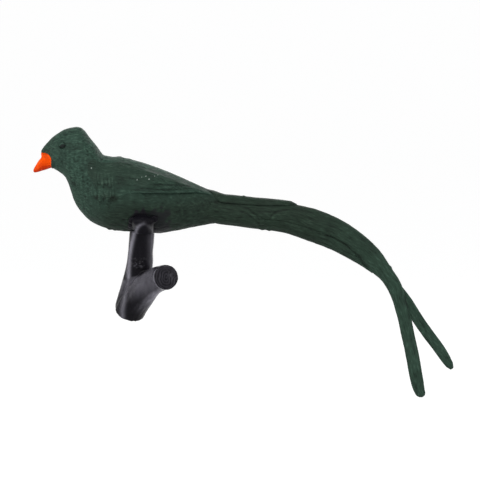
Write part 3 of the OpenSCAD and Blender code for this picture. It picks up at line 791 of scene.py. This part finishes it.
# %% Eyes
EYE_VOXEL, EYE_SMOOTH = 0.07, 2
EYE_STRETCH = np.array([1.1, 0.92, 1.1])
ALMOND_LONG, ALMOND_HIGH, ALMOND_SLANT = 0.9, 0.56, 0.15
LID_RISE = 0.05
for name in ("left_eye", "right_eye"):
    eye = fine_copy(name, EYE_VOXEL, EYE_SMOOTH)
    places = read_mm(eye)
    middle = EYE * np.array([1, np.sign(places[:, 1].mean()), 1])
    flat = (places - middle) * EYE_STRETCH
    slant = flat[:, 2] - ALMOND_SLANT * flat[:, 0]
    lid_and_highlight = ramp(np.hypot(flat[:, 0] / ALMOND_LONG, slant / ALMOND_HIGH), 0.85, 1.1)
    place_mm(eye, middle + flat)
    raise_skin(eye, LID_RISE * lid_and_highlight, rub=lid_and_highlight)

# %% [markdown]
# The branch is cast in glossy black plastic with bark modelled in: creases where stem, trunk and side limb
# meet, a few knots above the fork, and fine wrinkles along the bark. The CAD piece joins its three arms
# with sharp inner corners, so the fork is smoothed many times first, but the sawn end stays crisp.

# %% Sculpt the branch
BRANCH_VOXEL, BRANCH_SMOOTH, FORK_SMOOTH = 0.2, 5, 30
BARK_RISE, CREASE_DEEP, KNOT_RISE = 0.12, 0.3, 0.22
BARK_CREASES = [
    [(0.4, 10.5), (-0.6, 7.5), (-1.4, 3.0), (-2.2, 0.5)],
    [(0.8, 8.6), (4.5, 9.8), (7.2, 12.4)],
]
KNOTS = [
    (1.6, 15.9, 0.5), (2.9, 15.4, 0.5), (2.0, 14.4, 0.45),
    (4.2, 14.9, 0.5), (5.3, 15.8, 0.4), (3.4, 13.6, 0.6),
]
CUT_MIDDLE, CUT_RADIUS = np.array((12.3, -10.6, 11.5)), 4.2
branch = fine_copy("perch_branch", BRANCH_VOXEL, BRANCH_SMOOTH)
places = read_mm(branch)
from_cut = np.linalg.norm(places - CUT_MIDDLE, axis=1)
at_fork = ramp(places[:, 2], 1.5, 3.5) * (1 - ramp(places[:, 2], 8.5, 10.5))
soften(branch, FORK_SMOOTH, at_fork * ramp(from_cut, CUT_RADIUS, 6.5))
places = read_mm(branch)
x, y, z = places.T
bark = combed(places[:, [2, 0, 1]], seed=41, lock=5.0, thick=1.3)
creases = carved(places, BARK_CREASES, wide=0.9) * (y < 1)
knots = np.zeros(len(x))
for knot_x, knot_z, size in KNOTS:
    knots = np.maximum(knots, np.exp(-(np.hypot(x - knot_x, z - knot_z) / size) ** 2) * (y < 0))
raise_skin(branch, BARK_RISE * (bark - 0.5) - CREASE_DEEP * creases + KNOT_RISE * knots)

# %% [markdown]
# Grey highlights are painted on the glossy branch: a band along each side of the stem, one down the trunk,
# the top and the lower edge of the side limb, the lip of its sawn end, and glints at the knots. Such a
# place is a mark from 0 to 1, and a coarse grain makes it patchy. Faint wavy rings lie on the sawn end.

# %% Painted highlights on the branch
STEM_LEFT = ((12.8, 17.0, 19.4, 21.8, 24.2), (0.6, 0.9, 1.35, 1.95, 2.5))
FORK_LINE = ((-1.0, 1.4, 3.8, 5.0, 6.1, 7.9, 10.0), (9.5, 10.6, 11.2, 11.9, 12.7, 13.4, 14.2))
TRUNK_LEFT = ((0.4, 2.2, 6.0, 9.7), (-1.3, -1.1, -0.2, 0.5))
RING_GAP = 0.8


def band(away, wide):
    """A soft band from 0 to 1 round the places where away is 0, so many mm wide to each side."""
    return np.exp(-(away / wide) ** 2)


places, outward = read_mm(branch), outward_of(branch)
x, y, z = places.T
toward = ramp(-outward[:, 1], -0.3, 0.1)
# Each band and glint below is a painted highlight on the black.
left_band = band(x - np.interp(z, *STEM_LEFT), 0.62)
right_band = 0.32 * band(x - 7.8, 0.45) + 0.16 * band(x - 7.2, 0.9)
glint = ramp(grain(places, (0.45, 0.45, 0.3), seed=49), 0.6, 0.9) * (x < 6)
glint = glint * np.exp(-((z - 15.0) / 1.6) ** 4)
on_stem_rub = toward * np.maximum(0.85 * left_band, np.maximum(right_band, 0.22 * glint))
from_cut = np.linalg.norm(places - CUT_MIDDLE, axis=1)
past_cut = (places - CUT_MIDDLE) @ outward[from_cut < 0.9].mean(axis=0)
cut_end = ramp(past_cut, -0.5, -0.3) * (from_cut < CUT_RADIUS)
cut_lip = band(past_cut + 1.0, 0.55) * (from_cut < 5) * ramp(CUT_MIDDLE[0] - x, 1.2, 2.6)
limb_top = ramp(-outward[:, 1], -0.1, 0.3) * ramp(z, 2.5, 9.5)
limb_edge = ramp(-outward[:, 2] + outward[:, 0], 0.2, 1.4) * ramp(z, -1, 6)
trunk_band = toward * band(x - np.interp(z, *TRUNK_LEFT), 0.8)
low_rub = np.max([0.31 * limb_top, 0.95 * cut_lip, 0.4 * trunk_band, 0.85 * limb_edge], axis=0)
on_stem = ramp(z - np.interp(x, *FORK_LINE), -0.5, 0.3)
uneven = grain(places, (1.3, 1.3, 1.3), seed=48)
rings = (0.5 + 0.5 * np.cos(2 * np.pi * from_cut / RING_GAP + 17 * uneven)) * (0.3 + 1.3 * uneven)
# On the branch the mark is painted highlight, and on the sawn end faint grey rings.
rub = on_stem * on_stem_rub + (1 - on_stem) * low_rub
rub = rub * (1 - cut_end) + cut_end * 0.15 * rings
rub = np.clip(rub * (0.7 + 0.55 * grain(places, (0.8, 0.8, 2.2), seed=47)), 0, 1)
keep_mark(branch, "rub", rub)
print("Rubbed share of the branch:", round(float(rub.mean()), 2))

# %% [markdown]
# The feet hold the top of the stem, and on the real figure they are one soft black form with it and with
# the belly. The CAD legs end as rods in front of the stem, so on their copies the leg is made as broad as
# the stem and its lower end is drawn down and back into it, and the toes are drawn halfway into the belly.
# Drawing stretches the faces, so the leg is remeshed and smoothed after that. A grey painted highlight
# runs from the stem up round the leg in an arch, and the shaded underside of the leg is painted a little
# lighter.

# %% Sculpt the feet
FOOT_VOXEL, FOOT_SMOOTH, LEG_SMOOTH = 0.15, 4, 25
LEG_MIDDLE, LEG_BROADER, LEG_LONGER, LEG_ROUGH = 5.65, 1.6, 1.9, 0.2
LEG_TOP, LEG_FOOT, LEG_BACK, LEG_FORWARD = 27.2, 21.5, 7.5, 0.45
LEG_ARCH = [
    (2.6, 22.5), (3.2, 24.9), (3.9, 26.2), (4.8, 26.9),
    (5.8, 27.3), (7.2, 26.6), (8.0, 24.6), (8.2, 22.5),
]
ARCH_HIGHLIGHT = ((0, 0.3, 0.5, 0.65, 0.85, 1), (0.85, 0.75, 0.45, 0.1, 0.05, 0.35))
for name in ("left_foot", "right_foot"):
    foot = fine_copy(name, FOOT_VOXEL, FOOT_SMOOTH)
    places = read_mm(foot)
    on_leg = 1 - ramp(np.abs(places[:, 0] - LEG_MIDDLE), 1.9, 2.5)
    raise_skin(foot, LEG_ROUGH * (0.5 + grain(places, (1.2, 1.2, 1.2), seed=31)))
    sunk = 0.45 * (1 - on_leg) + 0.3 * ramp(read_mm(foot)[:, 2], 27.0, 29.5)
    press_onto(foot, [body], sunk, outside=0.08, inside=-0.3)
    places = read_mm(foot)
    places[:, 2] -= on_leg * np.clip(LEG_TOP - places[:, 2], 0, None) * (LEG_LONGER - 1)
    back = ramp(LEG_TOP + 0.8 - places[:, 2], 0, LEG_TOP - LEG_FOOT)
    broader = (LEG_BROADER - 1) * (places[:, 0] - LEG_MIDDLE)
    places[:, 0] += on_leg * (broader - LEG_FORWARD - 0.4 * back)
    places[:, 1] -= np.sign(places[:, 1]) * on_leg * LEG_BACK * back
    place_mm(foot, places)
    even_faces(foot, FOOT_VOXEL)
    soften(foot, LEG_SMOOTH, 1 - ramp(read_mm(foot)[:, 2], 26.0, 28.0))
    places = read_mm(foot)
    gap, share = line_gap(places, LEG_ARCH)
    rim = np.exp(-(gap / 0.5) ** 2) * np.interp(share, *ARCH_HIGHLIGHT)
    rim = rim * (0.6 + 0.7 * grain(places, (0.8, 0.8, 1.4), seed=33))
    # The mark is painted highlight on the arch, and painted light on the low, shaded part of the leg.
    keep_mark(foot, "rub", np.clip(rim + 0.035 * (1 - ramp(places[:, 2], 25, 27)), 0, 1))
    print(foot.name, "lowest point", round(float(places[:, 2].min()), 2), "mm")

# %% [markdown]
# Paint is mixed from colours, noise and the marks that the sculpting left on the mesh. Colours are written
# as they look on a screen and turned into the linear numbers that shaders use.

# %% Colour and mixing helpers


def linear(red, green, blue):
    """A colour written as on a screen, 0 to 255, in the linear numbers that shaders use."""
    share = np.array([red, green, blue]) / 255
    value = np.where(share <= 0.04045, share / 12.92, ((share + 0.055) / 1.055) ** 2.4)
    return (*value.tolist(), 1.0)


def mixed(board, factor, first, second, blend="MIX"):
    """The colour socket of a mix of two colours."""
    node = board.add("ShaderNodeMix", {0: factor, 6: first, 7: second}, data_type="RGBA", blend_type=blend)
    return node.outputs[2]


def spread(board, value, low, high, to_low=0.0, to_high=1.0):
    """A value stretched smoothly from one range to another."""
    limits = {"Value": value, "From Min": low, "From Max": high, "To Min": to_low, "To Max": to_high}
    return board.add("ShaderNodeMapRange", limits, interpolation_type="SMOOTHSTEP").outputs["Result"]


def noise(board, vector, scale, detail=3.0, roughness=0.5):
    """The value of a noise texture."""
    settings = {"Vector": vector, "Scale": scale, "Detail": detail, "Roughness": roughness}
    return board.add("ShaderNodeTexNoise", settings).outputs["Fac"]


def kept(board, name, output="Fac"):
    """A mark that the sculpting left on the mesh."""
    return board.add("ShaderNodeAttribute", attribute_name=name).outputs[output]


print("Mid grey is", round(linear(128, 128, 128)[0], 3), "in a shader")

# %% [markdown]
# The green is a flat paint, and the plumage shows because it is pale on the crests and dark in the grooves:
# partly paint that lies thin or thick, partly painted light on the crests and painted shade in the grooves.
# Plain noise would look like sponge, so the paint follows the crests that were kept on the mesh, and hair
# lines follow the direction of the feathers. One node group mixes it for all green pieces, and then adds
# the dusk, the sprayed black and the pale specks.

# %% Feather paint, one group for all green pieces
SPRAYED_BLACK = linear(22, 21, 25)
SPECK_PALE = linear(160, 172, 164)
DUSK_TINT = (0.58, 0.505, 0.48, 1.0)
MOTTLE_SCALE, GRIT_SCALE = 260, 2600
HAIR_STRETCH = (0.55, 3.4, 3.4)
tree = bpy.data.node_groups.new("feather_paint", "ShaderNodeTree")
for label in ("Groove", "Paint", "Crest"):
    tree.interface.new_socket(label, in_out="INPUT", socket_type="NodeSocketColor")
for label, kind in (("Color", "Color"), ("Roughness", "Float"), ("Height", "Float")):
    tree.interface.new_socket(label, in_out="OUTPUT", socket_type="NodeSocket" + kind)
board = Board(tree)
given = board.add("NodeGroupInput").outputs
coords = board.add("ShaderNodeTexCoord").outputs["Object"]
mottle = noise(board, coords, MOTTLE_SCALE)
feathers = {"Vector": kept(board, "flow", "Vector"), "Scale": HAIR_STRETCH}
hairs = noise(board, board.add("ShaderNodeMapping", feathers).outputs["Vector"], 1.0, 3.0, 0.6)
level = maths(board, "ADD", kept(board, "relief"), spread(board, hairs, 0.3, 0.7, -0.28, 0.28))
filled = mixed(board, spread(board, level, -0.05, 0.5), given["Groove"], given["Paint"])
brushed = mixed(board, spread(board, level, 0.55, 1.15), filled, given["Crest"])
shade = spread(board, mottle, 0.3, 0.7, 0.86, 1.1)
shade_color = board.add("ShaderNodeCombineColor", {0: shade, 1: shade, 2: shade}).outputs["Color"]
painted_green = mixed(board, 1.0, brushed, shade_color, "MULTIPLY")
dusky = mixed(board, 1.0, painted_green, DUSK_TINT, "MULTIPLY")
deep_green = mixed(board, kept(board, "dusk"), painted_green, dusky)
sprayed = mixed(board, kept(board, "soot"), deep_green, SPRAYED_BLACK)
dull = spread(board, mottle, 0.3, 0.7, 0.58, 0.7)
board.add("NodeGroupOutput", {
    "Color": mixed(board, kept(board, "fleck"), sprayed, SPECK_PALE),
    "Roughness": maths(board, "SUBTRACT", dull, maths(board, "MULTIPLY", kept(board, "soot"), 0.25)),
    "Height": maths(board, "ADD", hairs, maths(board, "MULTIPLY", noise(board, coords, GRIT_SCALE), 0.4)),
})
print("Paint group sockets:", [socket.name for socket in tree.interface.items_tree])

# %% [markdown]
# Every finish is one Principled shader with a fine bump. The bill, the eyes and the branch have smooth
# paint with small uneven patches. Under the bill the paint is darker as painted shade, and at its tip it is
# darker paint. Where the mesh says so, bill and eyes take the green that laps over them, and branch and
# legs a painted highlight grey.

# %% Green paint and plain paint
GREEN_SPECULAR, GREEN_BUMP = 0.085, 0.06


def painted(name, specular, bump):
    """A material with a shader whose normal comes from a bump node."""
    material = bpy.data.materials.new(name)
    material.use_nodes = True
    board = Board(material.node_tree)
    shader = board.add("ShaderNodeBsdfPrincipled", {"Specular IOR Level": specular})
    board.add("ShaderNodeOutputMaterial", {"Surface": shader.outputs["BSDF"]})
    dent = board.add("ShaderNodeBump", {"Distance": bump * MM, "Strength": 1.0})
    board.tree.links.new(dent.outputs["Normal"], shader.inputs["Normal"])
    return material, board, shader, dent


def green_paint(name, groove, paint, crest):
    """A material of the feather paint group with its three greens."""
    material, board, shader, dent = painted(name, GREEN_SPECULAR, GREEN_BUMP)
    coat = board.add("ShaderNodeGroup", node_tree=bpy.data.node_groups["feather_paint"])
    for label, color in (("Groove", groove), ("Paint", paint), ("Crest", crest)):
        coat.inputs[label].default_value = linear(*color)
    board.tree.links.new(coat.outputs["Color"], shader.inputs["Base Color"])
    board.tree.links.new(coat.outputs["Roughness"], shader.inputs["Roughness"])
    board.tree.links.new(coat.outputs["Height"], dent.inputs["Height"])
    return material


def plain_paint(name, color, dark, rubbed, roughness, specular, bump, scale):
    """A material of smooth patchy paint, darker by painted shade, and of a second colour where marked."""
    material, board, shader, dent = painted(name, specular, bump)
    coords = board.add("ShaderNodeTexCoord").outputs["Object"]
    patch = noise(board, coords, scale)
    # The shade mark makes the paint darker: painted shade under the bill, and darker paint at its tip.
    thin = maths(board, "SUBTRACT", spread(board, patch, 0.3, 0.7, 0.3, 1.0), kept(board, "deep"))
    patchy = mixed(board, thin, linear(*dark), linear(*color))
    # The second colour is green overpaint on bill and eyes, and painted highlight grey on branch and legs.
    uneven = mixed(board, kept(board, "rub"), patchy, linear(*rubbed))
    sheen = spread(board, patch, 0.3, 0.7, roughness + 0.08, roughness)
    board.tree.links.new(uneven, shader.inputs["Base Color"])
    board.tree.links.new(sheen, shader.inputs["Roughness"])
    board.tree.links.new(noise(board, coords, scale * 6), dent.inputs["Height"])
    return material


print("Green paint has a specular level of", GREEN_SPECULAR)

# %% [markdown]
# On the branch the gloss and a painted highlight grey do the work, so its paint is nearly black and the
# bark comes from the geometry. The legs are the same black, but duller, with the same painted highlight
# grey. The second colour of bill and eyes is the green that laps over them.

# %% Give each piece its paint
HIGHLIGHT_GREY = (124, 122, 131)
body_green = green_paint("body_green", groove=(22, 34, 28), paint=(38, 57, 48), crest=(56, 79, 67))
wing_green = green_paint("wing_green", groove=(20, 32, 26), paint=(37, 55, 46), crest=(58, 79, 67))
tail_green = green_paint("tail_green", groove=(22, 35, 28), paint=(38, 56, 46), crest=(54, 76, 64))
bill_orange = plain_paint("bill_orange", color=(242, 84, 3), dark=(180, 46, 0), rubbed=(38, 56, 47),
                          roughness=0.42, specular=0.05, bump=0.02, scale=400)
eye_black = plain_paint("eye_black", color=(24, 30, 28), dark=(14, 18, 17), rubbed=(42, 63, 53),
                        roughness=0.4, specular=0.08, bump=0.005, scale=400)
branch_black = plain_paint("branch_black", color=(14, 13, 18), dark=(8, 7, 11), rubbed=HIGHLIGHT_GREY,
                           roughness=0.24, specular=0.07, bump=0.05, scale=300)
leg_black = plain_paint("leg_black", color=(16, 15, 20), dark=(8, 7, 11), rubbed=HIGHLIGHT_GREY,
                        roughness=0.35, specular=0.05, bump=0.05, scale=300)
FINISHES = {
    "body": ("green_skin", body_green), "bill": ("orange_bill", bill_orange),
    "left_eye": ("eye_black", eye_black), "right_eye": ("eye_black", eye_black),
    "left_wing": ("wing_green", wing_green), "right_wing": ("wing_green", wing_green),
    "perch_branch": ("branch_black", branch_black),
    "left_foot": ("branch_black", leg_black), "right_foot": ("branch_black", leg_black),
}
TAIL_FINISH = ("green_skin", tail_green)
for node in frame["nodes"]:
    slot, material = FINISHES.get(node, TAIL_FINISH)
    piece = bpy.data.objects[node + "_skin"]
    piece.data.materials.append(material)
print("Materials:", sorted(m.name for m in bpy.data.materials))
